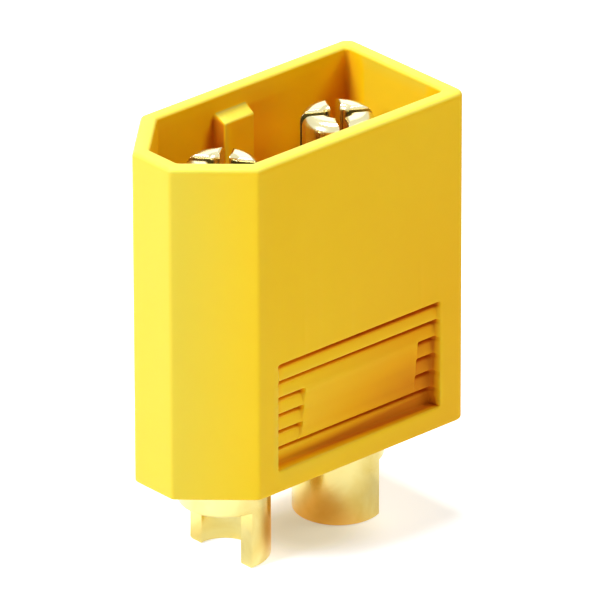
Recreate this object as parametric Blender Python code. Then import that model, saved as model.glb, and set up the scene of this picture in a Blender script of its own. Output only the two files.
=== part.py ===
"""Shrouded two-pole power connector: a keyed nylon housing with two turned contacts pressed into it.

Metres, +Z up. The part stands on its solder cups with the mating mouth up, its origin in the middle of
the footprint of the housing at the level of the cups' ends. The contacts stand in a row along X, the two
keying chamfers are at the -X end, and the wide faces with the grip ramps look along -Y and +Y.
"""

import math

import bmesh
import bpy
from mathutils import Matrix, Vector

MM = 0.001

# Housing
HOUSING_LENGTH = 16.0 * MM
HOUSING_WIDTH = 8.2 * MM
HOUSING_HEIGHT = 17.0 * MM
KEY_LENGTH = 3.0 * MM  # each keying chamfer, along the housing
KEY_WIDTH = 2.8 * MM  # each keying chamfer, across the housing
WALL = 0.8 * MM
WEB = 7.0 * MM  # solid bottom that holds the contacts
END_RADIUS = 0.5 * MM  # upright corners of the square end
KEY_RADIUS = 0.3 * MM  # upright corners of the chamfers
MOUTH_RADIUS = 0.25 * MM  # upright corners inside the mouth
EDGE_ROUND = 0.12 * MM  # edges of the rim and of the underside

# Keying ribs, one inside each wide wall
RIB_WIDTH = 1.7 * MM
RIB_PROJECTION = 0.65 * MM
RIB_DROP = 0.9 * MM  # rim down to the rib's top
RIB_SLOPE = 0.15 * MM  # fall of the rib's top towards its free edge

# Grip ramps, one in each wide face: rows that step inwards towards the solder cups, down to a ledge
GRIP_ROWS = 6
GRIP_PITCH = 0.91 * MM
GRIP_STEP = 0.1 * MM  # extra depth of each row
GRIP_TOOTH = 0.08 * MM  # extra depth at the upper edge of a row, which leans out towards its lower edge
GRIP_FOOT = 1.15 * MM  # underside of the housing up to the ledge
GRIP_KEY_MARGIN = 1.25 * MM  # chamfer to the ramp
GRIP_END_MARGIN = 1.7 * MM  # ramp to the square end
FIELD_FIRST_ROW = 2  # rows of the ramp that a plain field interrupts, counted from 0 at the top
FIELD_LAST_ROW = 4
FIELD_KEY_MARGIN = 1.7 * MM  # ramp's end at the chamfer to the field
FIELD_END_MARGIN = 1.05 * MM  # field to the ramp's other end
FIELD_SLOPE = 0.12 * MM  # run of the field's sloping ends

# Contacts
CONTACT_PITCH = 7.2 * MM
PIN_DIAMETER = 3.5 * MM
PIN_NOSE = 0.45 * MM  # radius round the pin's tip
PIN_RECESS = 1.2 * MM  # rim down to the pin's tip
SLOT_WIDTH = 0.6 * MM
SLOT_FOOT = 0.5 * MM  # floor of the mouth up to the end of the slots
BARB_DIAMETER = 3.9 * MM
BARB_PITCH = 0.9 * MM
BARB_RISE = 0.6 * MM  # height over which a barb swells, down to its ledge
BARB_ROWS = 2
CUP_DIAMETER = 4.4 * MM
CUP_BORE = 2.8 * MM
CUP_LENGTH = 4.65 * MM  # below the housing
CUP_SEAT = 3.0 * MM  # inside the housing
CUP_FLOOR = 1.0 * MM  # solid between the bore's drill point and the top of the cup
CUP_CHAMFER = 0.15 * MM
SCOOP_LENGTH = 2.85 * MM
SCOOP_OFFSET = 0.2 * MM  # axis to the plane where the scoop ends
DRILL_POINT = math.radians(118)
SLOT_TURN = math.radians(45)  # slots from the scoop's direction
NEGATIVE_TURN = math.radians(180)  # the scoops' directions about Z, from +X
POSITIVE_TURN = math.radians(15)

# Fits and fineness
FIT_CLEARANCE = 0.15 * MM  # contact to housing, where the real contact's barbs bite
SEAT_CHAMFER = 0.25 * MM  # lead-in round each cup, in the underside
CUT_MARGIN = 1.0 * MM  # how far a cutter reaches past the faces it opens
WELD = 0.0001 * MM
LEAST_RADIUS = 0.02 * MM
ROUND_SIDES = 56
CORNER_STEPS = 5
EDGE_STEPS = 3
NOSE_STEPS = 6
SHARP_ANGLE = math.radians(32)

# Levels, up from the cups' ends
UNDERSIDE = CUP_LENGTH
RIM = UNDERSIDE + HOUSING_HEIGHT
FLOOR = UNDERSIDE + WEB
CUP_TOP = UNDERSIDE + CUP_SEAT
BARB_TOP = CUP_TOP + BARB_ROWS * BARB_PITCH

# Colours are linear RGB.
NYLON = {"colour": (0.85, 0.52, 0.012), "roughness": 0.38, "metallic": 0.0}
GOLD_PLATE = {"colour": (0.86, 0.66, 0.28), "roughness": 0.18, "metallic": 1.0}


def clear_scene():
    """Removes whatever the file opened with."""
    for obj in list(bpy.data.objects):
        bpy.data.objects.remove(obj)


def material(name, look):
    """A Principled material with the given colour, roughness and metallic value."""
    made = bpy.data.materials.new(name)
    made.use_nodes = True
    shader = made.node_tree.nodes["Principled BSDF"]
    shader.inputs["Base Color"].default_value = (*look["colour"], 1.0)
    shader.inputs["Roughness"].default_value = look["roughness"]
    shader.inputs["Metallic"].default_value = look["metallic"]
    made.diffuse_color = (*look["colour"], 1.0)
    return made


def placed(name, shape):
    """Links the finished bmesh as an object of that name."""
    bmesh.ops.remove_doubles(shape, verts=shape.verts, dist=WELD)
    bmesh.ops.recalc_face_normals(shape, faces=shape.faces)
    mesh = bpy.data.meshes.new(name)
    shape.to_mesh(mesh)
    shape.free()
    obj = bpy.data.objects.new(name, mesh)
    bpy.context.scene.collection.objects.link(obj)
    return obj


def lofted(name, sections):
    """A closed solid through sections of equally many points, with a face over the first and the last."""
    shape = bmesh.new()
    rows = [[shape.verts.new(point) for point in section] for section in sections]
    for row, following in zip(rows, rows[1:]):
        for k in range(len(row)):
            shape.faces.new((row[k - 1], row[k], following[k], following[k - 1]))
    shape.faces.new(rows[0])
    shape.faces.new(rows[-1])
    return placed(name, shape)


def turned(name, profile):
    """A solid of revolution about Z from (radius, height) points that start and end on the axis."""
    shape = bmesh.new()
    points = [shape.verts.new((radius, 0.0, height)) for radius, height in profile]
    lines = [shape.edges.new(pair) for pair in zip(points, points[1:])]
    bmesh.ops.spin(
        shape,
        geom=points + lines,
        axis=(0.0, 0.0, 1.0),
        cent=(0.0, 0.0, 0.0),
        angle=math.tau,
        steps=ROUND_SIDES,
        use_merge=True,
    )
    return placed(name, shape)


def combine(body, tool, operation):
    """Adds the tool to the body with a Boolean, as material or as a cut, and hides the tool."""
    tool.hide_render = True
    tool.display_type = "WIRE"
    modifier = body.modifiers.new(tool.name, "BOOLEAN")
    modifier.object = tool
    modifier.operation = operation
    modifier.solver = "EXACT"


def finished(body, look):
    """Applies the body's Booleans, takes their tools away, and gives the result its shading and material."""
    tools = [modifier.object for modifier in body.modifiers]
    graph = bpy.context.evaluated_depsgraph_get()
    body.data = bpy.data.meshes.new_from_object(body.evaluated_get(graph))
    body.modifiers.clear()
    for tool in tools:
        bpy.data.objects.remove(tool)
    body.data.name = body.name
    body.data.shade_smooth()
    body.data.set_sharp_from_angle(angle=SHARP_ANGLE)
    body.data.materials.clear()
    body.data.materials.append(look)
    return body


def quarter_turn(steps):
    """Angles from 0 to a right angle, both included."""
    return [step * math.pi / 2 / steps for step in range(steps + 1)]


def keyed_corners(inset):
    """Corners of the housing's plan, anticlockwise from the square end, with every side moved in by inset."""
    end = HOUSING_LENGTH / 2
    side = HOUSING_WIDTH / 2
    slant = math.hypot(KEY_LENGTH, KEY_WIDTH)
    # Moving the slanted side in moves its ends along the straight sides by less than the inset.
    slant_x = -end + KEY_LENGTH + inset * (slant - KEY_LENGTH) / KEY_WIDTH
    slant_y = side - KEY_WIDTH - inset * (slant - KEY_WIDTH) / KEY_LENGTH
    return [
        Vector((end - inset, -side + inset)),
        Vector((end - inset, side - inset)),
        Vector((slant_x, side - inset)),
        Vector((-end + inset, slant_y)),
        Vector((-end + inset, -slant_y)),
        Vector((slant_x, -side + inset)),
    ]


def rounded(corners, radii):
    """The convex outline through those corners, each rounded by an arc of its own radius."""
    outline = []
    for k, corner in enumerate(corners):
        back = (corners[k - 1] - corner).normalized()
        onward = (corners[(k + 1) % len(corners)] - corner).normalized()
        half = back.angle(onward) / 2
        centre = corner + (back + onward).normalized() * radii[k] / math.sin(half)
        spoke = corner + back * radii[k] / math.tan(half) - centre
        for step in range(CORNER_STEPS + 1):
            turn = (math.pi - 2 * half) * step / CORNER_STEPS
            outline.append(centre + Matrix.Rotation(turn, 2) @ spoke)
    return outline


def outside_ring(inset, height):
    """The housing's outer outline at a height, moved in by inset."""
    radii = [END_RADIUS] * 2 + [KEY_RADIUS] * 4
    radii = [max(radius - inset, LEAST_RADIUS) for radius in radii]
    return [(*point, height) for point in rounded(keyed_corners(inset), radii)]


def mouth_ring(outset, height):
    """The mouth's outline at a height, moved out into the wall by outset."""
    corners = keyed_corners(WALL - outset)
    radii = [MOUTH_RADIUS + outset] * len(corners)
    return [(*point, height) for point in rounded(corners, radii)]


def shell():
    """The housing without its details: up the outside, over the rim and down the mouth to its floor."""
    turns = quarter_turn(EDGE_STEPS)
    near = [EDGE_ROUND * (1 - math.sin(turn)) for turn in turns]  # falls to nothing along the arc
    far = [EDGE_ROUND * (1 - math.cos(turn)) for turn in turns]  # grows from nothing along the arc
    rings = [outside_ring(inset, UNDERSIDE + rise) for inset, rise in zip(near, far)]
    rings += [outside_ring(inset, RIM - fall) for inset, fall in zip(far, near)]
    rings += [mouth_ring(outset, RIM - fall) for outset, fall in zip(near, far)]
    rings.append(mouth_ring(0.0, FLOOR))
    return lofted("housing", rings)


def rib(side):
    """A keying rib up the inside of the wide wall on that side, rooted in the wall and in the floor."""
    root = HOUSING_WIDTH / 2 - WALL / 2
    wall_face = HOUSING_WIDTH / 2 - WALL
    crest = wall_face - RIB_PROJECTION
    top = RIM - RIB_DROP
    profile = [(root, FLOOR - WALL / 2), (crest, FLOOR - WALL / 2), (crest, top - RIB_SLOPE)]
    profile += [(wall_face, top), (root, top)]
    ends = (-RIB_WIDTH / 2, RIB_WIDTH / 2)
    return lofted("rib", [[(x, side * y, z) for y, z in profile] for x in ends])


def grip_section(side, x, plain):
    """Section of the tool that cuts a grip ramp. A plain one leaves the field's rows filled to a smooth ramp."""
    face = HOUSING_WIDTH / 2
    foot = UNDERSIDE + GRIP_FOOT
    top = foot + GRIP_ROWS * GRIP_PITCH
    section = [(face + CUT_MARGIN, top)]
    for row in range(GRIP_ROWS):
        lower_depth = (row + 1) * GRIP_STEP
        upper_depth = lower_depth + GRIP_TOOTH
        if plain and FIELD_FIRST_ROW <= row <= FIELD_LAST_ROW:
            upper_depth = row * GRIP_STEP
        section.append((face - upper_depth, top - row * GRIP_PITCH))
        section.append((face - lower_depth, top - (row + 1) * GRIP_PITCH))
    section.append((face + CUT_MARGIN, foot))
    return [(x, side * y, z) for y, z in section]


def grip_tool(side):
    """The tool that cuts the grip ramp in one wide face, round its plain field."""
    start = -HOUSING_LENGTH / 2 + KEY_LENGTH + GRIP_KEY_MARGIN
    end = HOUSING_LENGTH / 2 - GRIP_END_MARGIN
    field_start = start + FIELD_KEY_MARGIN
    field_end = end - FIELD_END_MARGIN
    places = [
        (start, False),
        (field_start, False),
        (field_start + FIELD_SLOPE, True),
        (field_end - FIELD_SLOPE, True),
        (field_end, False),
        (end, False),
    ]
    return lofted("grip", [grip_section(side, x, plain) for x, plain in places])


def seat_tool(x):
    """The tool that bores one contact's stepped seat through the web, with the clearance all round it."""
    neck = PIN_DIAMETER / 2 + FIT_CLEARANCE
    barbs = BARB_DIAMETER / 2 + FIT_CLEARANCE
    cup = CUP_DIAMETER / 2 + FIT_CLEARANCE
    profile = [
        (0.0, FLOOR + CUT_MARGIN),
        (neck, FLOOR + CUT_MARGIN),
        (neck, BARB_TOP),
        (barbs, BARB_TOP),
        (barbs, CUP_TOP),
        (cup, CUP_TOP),
        (cup, UNDERSIDE + SEAT_CHAMFER),
        (cup + SEAT_CHAMFER + CUT_MARGIN, UNDERSIDE - CUT_MARGIN),
        (0.0, UNDERSIDE - CUT_MARGIN),
    ]
    tool = turned("seat", profile)
    tool.location.x = x
    return tool


def housing(look):
    """The moulded housing: keyed shroud, web with the contacts' seats, ribs and grip ramps."""
    body = shell()
    for side in (-1, 1):
        combine(body, rib(side), "UNION")
        combine(body, grip_tool(side), "DIFFERENCE")
        combine(body, seat_tool(side * CONTACT_PITCH / 2), "DIFFERENCE")
    return finished(body, look)


def contact_profile():
    """Half section of a contact: split pin, barbs, then the cup with its drilled bore."""
    pin = PIN_DIAMETER / 2
    cup = CUP_DIAMETER / 2
    bore = CUP_BORE / 2
    tip = RIM - PIN_RECESS
    shoulder = CUP_TOP - FIT_CLEARANCE
    drill_end = shoulder - CUP_FLOOR
    profile = [(0.0, tip)]
    for turn in quarter_turn(NOSE_STEPS):
        profile.append((pin - PIN_NOSE * (1 - math.sin(turn)), tip - PIN_NOSE * (1 - math.cos(turn))))
    for row in range(BARB_ROWS):
        # A barb swells towards the cup and ends in a ledge, so that the contact can't back out.
        start = BARB_TOP - FIT_CLEARANCE - row * BARB_PITCH
        ledge = start - BARB_RISE
        profile += [(pin, start), (BARB_DIAMETER / 2, ledge), (pin, ledge)]
    profile += [(pin, shoulder), (cup - CUP_CHAMFER, shoulder), (cup, shoulder - CUP_CHAMFER)]
    profile += [(cup, CUP_CHAMFER), (cup - CUP_CHAMFER, 0.0), (bore, 0.0)]
    profile += [(bore, drill_end - bore / math.tan(DRILL_POINT / 2)), (0.0, drill_end)]
    return profile


def slot_tool():
    """The tool that saws the cross slots into the pin, down from its tip."""
    half = SLOT_WIDTH / 2
    reach = PIN_DIAMETER / 2 + CUT_MARGIN
    outline = []
    for quarter in range(4):
        turn = Matrix.Rotation(SLOT_TURN + quarter * math.pi / 2, 2)
        outline += [turn @ Vector(point) for point in ((reach, -half), (reach, half), (half, half))]
    levels = (FLOOR + SLOT_FOOT, RIM + CUT_MARGIN)
    return lofted("slots", [[(*point, level) for point in outline] for level in levels])


def scoop_tool():
    """The tool that opens the lower part of the cup on the +X side, so that a wire can be laid in."""
    reach = CUP_DIAMETER / 2 + CUT_MARGIN
    outline = [(SCOOP_OFFSET, -reach), (reach, -reach), (reach, reach), (SCOOP_OFFSET, reach)]
    return lofted("scoop", [[(*point, level) for point in outline] for level in (-CUT_MARGIN, SCOOP_LENGTH)])


def contact(name, x, turn, look):
    """One contact, pressed in at its place in the row with its scoop turned that way."""
    body = turned(name, contact_profile())
    combine(body, slot_tool(), "DIFFERENCE")
    combine(body, scoop_tool(), "DIFFERENCE")
    finished(body, look)
    body.location.x = x
    body.rotation_euler.z = turn
    return body


def main():
    """Builds the connector and hangs its pieces from one empty."""
    clear_scene()
    nylon = material("nylon", NYLON)
    gold_plate = material("gold_plate", GOLD_PLATE)
    pieces = [
        housing(nylon),
        contact("negative_contact", -CONTACT_PITCH / 2, NEGATIVE_TURN, gold_plate),
        contact("positive_contact", CONTACT_PITCH / 2, POSITIVE_TURN, gold_plate),
    ]
    connector = bpy.data.objects.new("connector", None)
    bpy.context.scene.collection.objects.link(connector)
    for piece in pieces:
        piece.parent = connector


main()
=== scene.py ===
"""Looks of a keyed, shrouded power connector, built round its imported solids.

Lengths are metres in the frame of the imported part: +Z runs from the solder cups up to the mating mouth, +X to
the square end of the housing, and -Y out of the wide face that the photograph shows. The housing and both
contacts are drawn again as fine surfaces that keep the solids' sizes and add their rounded edges. A small
studio with a pale floor, soft lamps and the photograph's camera stands round them.
"""

import logging
import math
from collections.abc import Iterable
from dataclasses import dataclass
from enum import Enum

import bmesh
import bpy
import numpy as np
from mathutils import Matrix, Vector


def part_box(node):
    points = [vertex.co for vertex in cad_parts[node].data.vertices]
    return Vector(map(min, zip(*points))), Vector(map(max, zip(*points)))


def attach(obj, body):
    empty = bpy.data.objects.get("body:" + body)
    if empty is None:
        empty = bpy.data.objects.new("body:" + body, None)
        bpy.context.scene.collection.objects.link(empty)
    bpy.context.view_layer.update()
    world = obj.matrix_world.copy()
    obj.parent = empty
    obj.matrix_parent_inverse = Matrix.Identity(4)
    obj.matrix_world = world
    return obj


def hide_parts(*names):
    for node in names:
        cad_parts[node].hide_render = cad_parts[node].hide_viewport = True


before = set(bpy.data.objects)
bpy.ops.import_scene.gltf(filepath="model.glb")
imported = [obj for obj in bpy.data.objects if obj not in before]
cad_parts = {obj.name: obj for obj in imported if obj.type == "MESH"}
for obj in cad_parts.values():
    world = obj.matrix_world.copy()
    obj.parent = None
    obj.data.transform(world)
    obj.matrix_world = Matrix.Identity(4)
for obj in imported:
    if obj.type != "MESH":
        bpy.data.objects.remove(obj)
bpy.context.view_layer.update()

MM = 0.001
WELD = 0.0001 * MM
# Attribute of painted shade (above 0) and painted light (below 0); on the contacts' tips it holds a painted
# highlight
SHADE = "shade"
SHARP_ANGLE = math.radians(38)
CURVE_SHARE = 0.45
PIN_RADIUS = 1.75 * MM
BARB_RADIUS = 1.95 * MM
CUP_RADIUS = 2.2 * MM

Colour = tuple[float, float, float, float]
Triple = tuple[float, float, float]
Socket = bpy.types.NodeSocket
Array = np.ndarray
WHITE: Colour = (1.0, 1.0, 1.0, 1.0)

log = logging.getLogger("connector")


class Side(Enum):
    """The two wide sides of the housing, by the sign of Y."""

    BACK = 1
    FRONT = -1


class Slot(Enum):
    """Names of two material slots; nothing in this script uses them."""

    NYLON = "nylon"
    GOLD = "gold_plate"


class Mixed(Enum):
    """What a mix node mixes: the numbers of its two inputs and of its output, whose names aren't unique."""

    FLOAT = (2, 3, 0)
    RGBA = (6, 7, 2)


def smooth_step(values: Array, start: float, end: float) -> Array:
    """Rises from 0 at start to 1 at end with a level tangent at both: 3t^2 - 2t^3, t the share of the way.

    Args:
        values: Where the rise is wanted.
        start: The value up to which the result is 0.
        end: The value from which the result is 1.

    Returns:
        The rise at each value.
    """
    t = np.clip((values - start) / (end - start), 0.0, 1.0)
    return t * t * (3.0 - 2.0 * t)


def plateau(values: Array, rise: tuple[float, float], fall: tuple[float, float]) -> Array:
    """Smoothly up from 0 to 1 between the two ends of the rise, and down again between those of the fall."""
    return smooth_step(values, *rise) * (1.0 - smooth_step(values, *fall))


def turned(x: Array, y: Array, angle: Array | float) -> tuple[Array, Array]:
    """X and Y of points turned anticlockwise about the origin."""
    return x * np.cos(angle) - y * np.sin(angle), x * np.sin(angle) + y * np.cos(angle)


def quarter(steps: int) -> Array:
    """Angles from 0 to a right angle in that many steps, both ends included."""
    return np.linspace(0.0, math.pi / 2, steps + 1)


def rounded_line(knots: Array, cut: float, steps: int) -> Array:
    """Rounds the inner corners of an open line.

    A corner k gives way to the curve (1-t)^2 a + 2t(1-t) k + t^2 b, where a and b lie on the line before and
    after it at the distance cut, or at a little under half of the shorter neighbour where that is less.

    Args:
        knots: The line's points, one a row.
        cut: Distance from a corner to the ends of its curve.
        steps: Points on each curve.

    Returns:
        The rounded line's points, from the first knot to the last.
    """
    spans = np.diff(knots, axis=0)
    lengths = np.linalg.norm(spans, axis=1)
    units = spans / lengths[:, None]
    reach = np.minimum(cut, CURVE_SHARE * np.minimum(lengths[:-1], lengths[1:]))[:, None]
    inner = knots[1:-1]
    start = inner - units[:-1] * reach
    end = inner + units[1:] * reach
    t = np.linspace(0.0, 1.0, steps)[:, None, None]
    curves = (1 - t) ** 2 * start + 2 * t * (1 - t) * inner + t**2 * end
    return np.vstack([knots[:1], curves.transpose(1, 0, 2).reshape(-1, 2), knots[-1:]])


def bell_mean(values: Array, places: Array, reach: float) -> Array:
    """Mean of values round each place, under a bell curve exp(-(d / reach)^2 / 2) of the distance d.

    Args:
        values: What is averaged, along its first axis.
        places: Where the values lie on that axis, in rising order but not evenly spaced.
        reach: The curve's width.

    Returns:
        The means, in the values' shape.
    """
    weights = np.exp(-(((places[:, None] - places[None, :]) / reach) ** 2) / 2) * np.gradient(places)
    return weights @ values / weights.sum(axis=1)[:, None]


def grid_faces(rows: int, columns: int, first: int) -> Array:
    """Corners of the quads of a grid whose columns run right round.

    Args:
        rows: Rows of the grid.
        columns: Columns of the grid, of which the last is followed by the first.
        first: Index of the grid's first point.

    Returns:
        One row of four indices for each quad.
    """
    row, column = np.meshgrid(np.arange(rows - 1), np.arange(columns), indexing="ij")
    onward = (column + 1) % columns
    corners = [row * columns + column, row * columns + onward]
    corners += [(row + 1) * columns + onward, (row + 1) * columns + column]
    return first + np.stack(corners, axis=-1).reshape(-1, 4)


def placed_object(name: str, data: bpy.types.ID) -> bpy.types.Object:
    """Puts an object in the scene.

    Args:
        name: The object's name.
        data: Its mesh, light or camera.

    Returns:
        The object.
    """
    made = bpy.data.objects.new(name, data)
    bpy.context.scene.collection.objects.link(made)
    return made


def closed_piece(name: str, grids: list[Array], shades: list[Array]) -> bpy.types.Object:
    """Makes one piece of grids of points whose columns run right round and whose rims meet.

    Args:
        name: The piece's name.
        grids: Arrays of rows by columns by X, Y and Z.
        shades: For each grid its points' painted shade and light, which the finishes read as the
        attribute of that name.

    Returns:
        The piece, welded, facing outwards and shaded smooth but for its sharp edges.
    """
    firsts = np.cumsum([0] + [grid.shape[0] * grid.shape[1] for grid in grids])
    points = np.vstack([grid.reshape(-1, 3) for grid in grids])
    faces = np.vstack([grid_faces(*grid.shape[:2], first) for grid, first in zip(grids, firsts)])
    mesh = bpy.data.meshes.new(name)
    mesh.from_pydata(points.tolist(), [], faces.tolist())
    shade = mesh.attributes.new(SHADE, "FLOAT", "POINT")
    shade.data.foreach_set("value", np.concatenate([values.ravel() for values in shades]).astype(np.float32))
    shape = bmesh.new()
    shape.from_mesh(mesh)
    bmesh.ops.remove_doubles(shape, verts=shape.verts, dist=WELD)
    bmesh.ops.recalc_face_normals(shape, faces=shape.faces)
    shape.to_mesh(mesh)
    shape.free()
    mesh.shade_smooth()
    mesh.set_sharp_from_angle(angle=SHARP_ANGLE)
    return placed_object(name, mesh)


@dataclass
class Housing:
    """The moulded housing: keyed shroud, ribs, grip ramps and the web that holds the contacts.

    It is drawn as one skin of closed rings, up the outside, over the rim and down the mouth. The grip ramps
    and the ribs are inward shifts of the rings' stretches along the wide sides. The underside and the mouth's
    floor are flat sheets round the contacts' holes, and the holes join them.
    """

    low: Vector
    high: Vector
    hole_centres: tuple[float, float]
    # Plan, walls and rounded edges
    key_length: float = 3.0 * MM
    key_width: float = 2.8 * MM
    wall: float = 0.8 * MM
    web: float = 7.0 * MM
    end_radius: float = 0.5 * MM
    key_radius: float = 0.3 * MM
    mouth_radius: float = 0.25 * MM
    foot_round: float = 0.15 * MM
    rim_outer_round: float = 0.22 * MM
    rim_inner_round: float = 0.16 * MM
    floor_round: float = 0.2 * MM
    # Ribs
    rib_width: float = 2.0 * MM
    rib_offset: float = -0.15 * MM
    rib_projection: float = 0.65 * MM
    rib_drop: float = 0.9 * MM
    rib_slope: float = 0.3 * MM
    rib_edge: float = 0.12 * MM
    # Grip ramps and their grooves
    grip_rows: int = 6
    grip_pitch: float = 0.91 * MM
    grip_step: float = 0.1 * MM
    grip_tooth: float = 0.08 * MM
    grip_foot: float = 1.15 * MM
    grip_key_margin: float = 1.25 * MM
    grip_end_margin: float = 1.7 * MM
    grip_wall: float = 0.1 * MM
    grip_fall: float = 0.03 * MM
    grip_lip: float = 0.14 * MM
    groove_height: float = 0.26 * MM
    groove_depth: float = 0.26 * MM
    groove_slope: float = 0.05 * MM
    # Plain field in the ramps, over these rows counted from the top
    field_first_row: int = 2
    field_last_row: int = 4
    field_key_margin: float = 1.7 * MM
    field_end_margin: float = 1.05 * MM
    field_slope: float = 0.12 * MM
    # Holes for the contacts
    cup_seat: float = 3.0 * MM
    barb_seat: float = 1.8 * MM
    neck_gap: float = 0.03 * MM
    seat_gap: float = 0.08 * MM
    seat_chamfer: float = 0.25 * MM
    # Painted highlight on the rim, painted light at the keyed end and painted shade low at the square end;
    # the fade at the keyed end is counted in key lengths from it
    rim_shade: float = -0.8
    low_shade: float = 0.2
    key_shade: float = -0.4
    key_fade: tuple[float, float] = (-0.5, 1.5)
    # Painted shade of the grip ramps, with painted light where they stand out
    shade_reach: float = 0.19 * MM
    shade_depth: float = 0.22 * MM
    edge_share: float = 0.2
    groove_shade: float = 0.62
    recess_depth: float = 0.5 * MM
    recess_shade: float = 0.85
    # Painted shade in the mouth and in the ribs' lee, painted light on the square end's inner wall and
    # painted highlights on the ribs' tops and front edges
    mouth_shade: float = 0.19
    end_wall_shade: float = -0.30
    rib_top_shade: float = -0.8
    rib_lit_shade: float = -0.45
    rib_lit_reach: float = 0.7 * MM
    lee_shade: float = 0.32
    lee_reach: float = 4.0 * MM
    # Painted shadows in the nooks beside the ribs and in the corners, their extra rows at shares of the fall
    nook_shade: float = 0.78
    nook_width: float = 1.0 * MM
    nook_fall: float = 2.0 * MM
    nook_rows: tuple[float, ...] = (0.4, 0.7, 1.0)
    nook_gain: float = 1.5
    nook_reach: float = 2.0 * MM
    nook_top_reach: float = 0.3
    nook_top_shade: float = 0.5
    # Columns and rows of the surfaces
    station_pitch: float = 0.3 * MM
    corner_steps: int = 8
    edge_steps: int = 5
    side_steps: int = 6
    wall_steps: int = 8
    sheet_rows: int = 6
    line_points: int = 17

    @property
    def mouth_floor(self) -> float:
        """Height of the mouth's floor."""
        return self.low.z + self.web

    def grip_ends(self) -> tuple[float, float]:
        """X of the grip ramp's two ends."""
        return self.low.x + self.key_length + self.grip_key_margin, self.high.x - self.grip_end_margin

    def field_ends(self) -> tuple[float, float]:
        """X of the plain field's two ends."""
        start, end = self.grip_ends()
        return start + self.field_key_margin, end - self.field_end_margin

    def stations(self) -> Array:
        """X of the columns along a wide side.

        They lie evenly between the corners, with extra ones over each wall of the ramp, the field and the
        rib, and one in the middle.

        Returns:
            The places in rising order.
        """
        first = self.low.x + self.key_length + 2 * self.mouth_radius
        last = self.high.x - self.wall - 2 * self.mouth_radius
        walls = [(place, self.grip_wall) for place in self.grip_ends()]
        walls += [(place, self.field_slope) for place in self.field_ends()]
        walls += [(self.rib_offset + sign * self.rib_width / 2, self.rib_edge) for sign in (-1, 1)]
        shares = np.linspace(-1.0, 1.0, self.wall_steps + 1)
        fine = np.concatenate([place + shares * width for place, width in walls])
        even = np.arange(first, last, self.station_pitch)
        nearest = np.abs(even[:, None] - fine[None, :]).min(axis=1)
        even = even[nearest > self.station_pitch / 2]
        even = even[np.abs(even) > self.station_pitch / 2]
        return np.sort(np.concatenate([even, fine, [0.0, last]]))

    def corners(self, inset: Array) -> Array:
        """Corners of the plan with every side moved in, anticlockwise from the front of the square end.

        Moving the slanted sides in moves their ends along the straight sides by less than the inset.

        Args:
            inset: How far the sides move in, one value for each ring.

        Returns:
            An array of rings by six corners by X and Y.
        """
        slant = math.hypot(self.key_length, self.key_width)
        slant_x = self.low.x + self.key_length + inset * (slant - self.key_length) / self.key_width
        slant_y = self.high.y - self.key_width - inset * (slant - self.key_width) / self.key_length
        end = self.high.x - inset
        side = self.high.y - inset
        key_end = self.low.x + inset
        xs = [end, end, slant_x, key_end, key_end, slant_x]
        ys = [-side, side, side, slant_y, -slant_y, -side]
        return np.stack([np.stack(xs, axis=-1), np.stack(ys, axis=-1)], axis=-1)

    def rings(self, inset: Array) -> tuple[Array, Array]:
        """Plans of the rings with their corners rounded by arcs.

        An arc's centre lies on the corner's bisector at the radius over the sine of half the corner's angle,
        and its points are the first spoke turned through equal steps. The radius passes from the outer one to
        the mouth's as the inset passes through the wall.

        Args:
            inset: How far the sides move in, one value for each ring.

        Returns:
            The plans, an array of rings by columns by X and Y, and for each column the sign of the wide side
            that it lies on, or 0.
        """
        corners = self.corners(inset)
        outer = np.array([self.end_radius] * 2 + [self.key_radius] * 4)
        share = np.clip(inset / self.wall, 0.0, 1.0)[:, None]
        radii = (outer + (self.mouth_radius - outer) * share)[..., None]
        back = np.roll(corners, 1, axis=1) - corners
        onward = np.roll(corners, -1, axis=1) - corners
        back /= np.linalg.norm(back, axis=-1, keepdims=True)
        onward /= np.linalg.norm(onward, axis=-1, keepdims=True)
        half = np.arccos((back * onward).sum(axis=-1, keepdims=True)) / 2
        bisector = back + onward
        bisector /= np.linalg.norm(bisector, axis=-1, keepdims=True)
        centres = corners + bisector * radii / np.sin(half)
        spokes = corners + back * radii / np.tan(half) - centres
        turns = (math.pi - 2 * half) * np.linspace(0.0, 1.0, self.corner_steps + 1)
        arcs = centres[:, :, None] + np.stack(turned(spokes[..., :1], spokes[..., 1:], turns), axis=-1)
        stations = self.stations()
        wide_y = self.high.y - inset[:, None]
        shares = np.linspace(0.0, 1.0, self.side_steps + 1)[1:-1, None]
        # The corners after which a wide side follows
        wide_sides = {1: Side.BACK, 5: Side.FRONT}
        parts = []
        signs = []
        for k in range(corners.shape[1]):
            parts.append(arcs[:, k])
            signs.append(np.zeros(self.corner_steps + 1))
            if k in wide_sides:
                sign = wide_sides[k].value
                xs = stations[::-sign] * np.ones_like(wide_y)
                parts.append(np.stack([xs, sign * wide_y * np.ones_like(xs)], axis=-1))
                signs.append(np.full(len(stations), float(sign)))
            else:
                start = arcs[:, k, -1][:, None]
                end = arcs[:, k + 1, 0][:, None]
                parts.append(start + (end - start) * shares)
                signs.append(np.zeros(self.side_steps - 1))
        return np.concatenate(parts, axis=1), np.concatenate(signs)

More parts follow.
